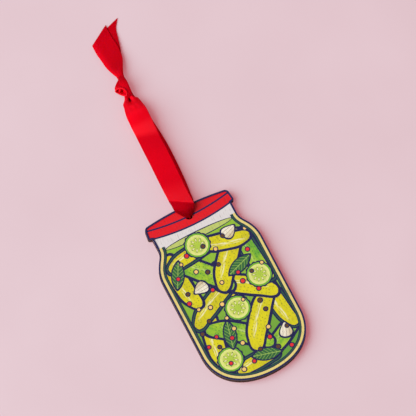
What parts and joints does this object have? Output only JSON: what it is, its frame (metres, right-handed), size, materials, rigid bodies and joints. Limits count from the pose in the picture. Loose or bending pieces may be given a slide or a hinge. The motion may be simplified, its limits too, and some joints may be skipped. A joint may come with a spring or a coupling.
{
  "type": "hanging jar ornament",
  "caption": "Flat jar-shaped plywood board with a printed front, on a knotted satin ribbon loop through a hole in its lid, for hanging.",
  "frame": {"origin": "middle of the board's back face, half way up the jar", "axes": "+Y from the jar's base to its lid, +Z out of the printed face, +X to the right of the printed face"},
  "size_m": [0.0508, 0.1845, 0.008],
  "materials": {
    "birch_face": "sanded birch veneer, bare, laser-scorched on its cut edge",
    "birch_core": "cross-grain birch core, laser-scorched dark brown on its cut edge",
    "print_ink": "satin UV-cured ink in flat colours with navy outlines, wood pores showing through",
    "satin_ribbon": "bright red polyester satin, soft sheen"
  },
  "bodies": {
    "board": {"ply_back": "birch_face", "ply_core": "birch_core", "ply_front": "birch_face", "print_film": "print_ink"},
    "ribbon": {"ribbon_front_run": "satin_ribbon", "ribbon_back_run": "satin_ribbon", "ribbon_knot": "satin_ribbon", "ribbon_tail_upper": "satin_ribbon", "ribbon_tail_lower": "satin_ribbon"}
  },
  "joints": [
    {"name": "ribbon_swivel", "type": "hinge", "parent": "board", "child": "ribbon", "pos_m": [0, 0.03955, 0], "axis": [0, 0, 1], "range_deg": [-135, 135]}
  ]
}
